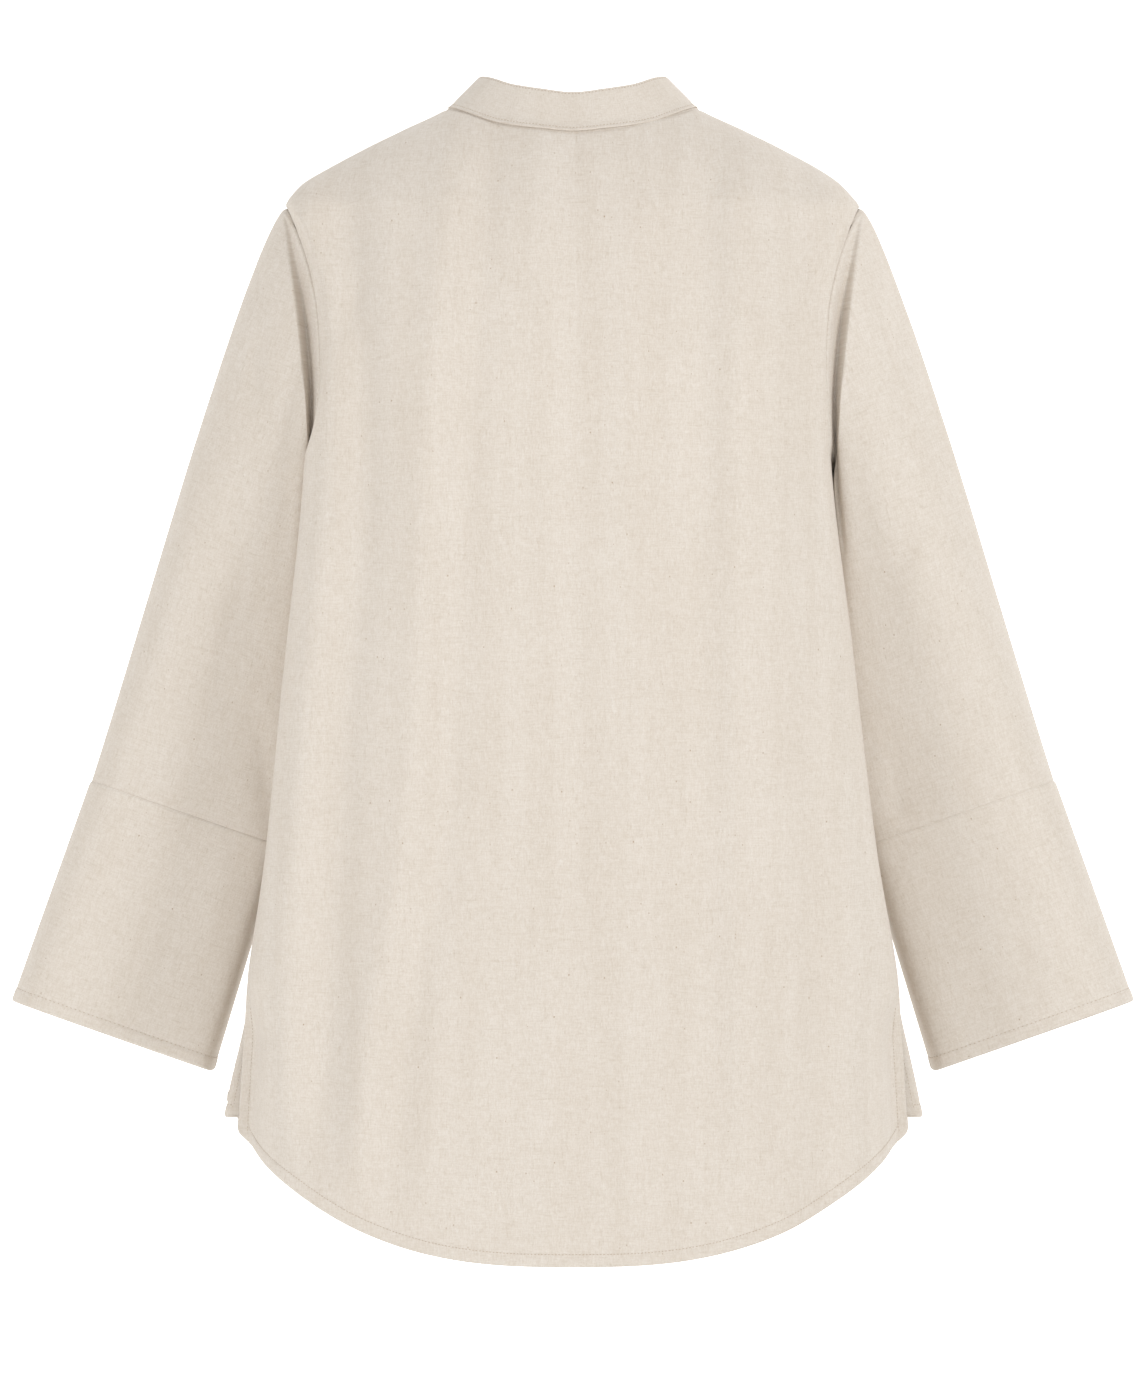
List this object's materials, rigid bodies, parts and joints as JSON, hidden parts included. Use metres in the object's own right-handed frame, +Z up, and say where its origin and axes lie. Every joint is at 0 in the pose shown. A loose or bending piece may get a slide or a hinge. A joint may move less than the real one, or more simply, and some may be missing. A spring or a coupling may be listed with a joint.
{
  "type": "wrap shirt",
  "caption": "Long linen wrap shirt, filled out and hollow, with a band collar, deep straight cuffs, slit sides and a round longer back.",
  "frame": {"origin": "the middle of the neck opening, level with the two neck points where the collar meets the shoulders", "axes": "+Z up, +Y to the wearer's back, +X to the wearer's left"},
  "size_m": [0.8088, 0.2713, 0.835],
  "materials": {
    "linen": "matt plain-woven linen in a natural oatmeal colour",
    "button": "satin"
  },
  "bodies": {
    "root": {"back": "linen", "front_outer": "linen", "front_inner": "linen", "sleeve_left": "linen", "sleeve_right": "linen", "cuff_left": "linen", "cuff_right": "linen", "collar": "linen", "button": "button"}
  },
  "joints": []
}
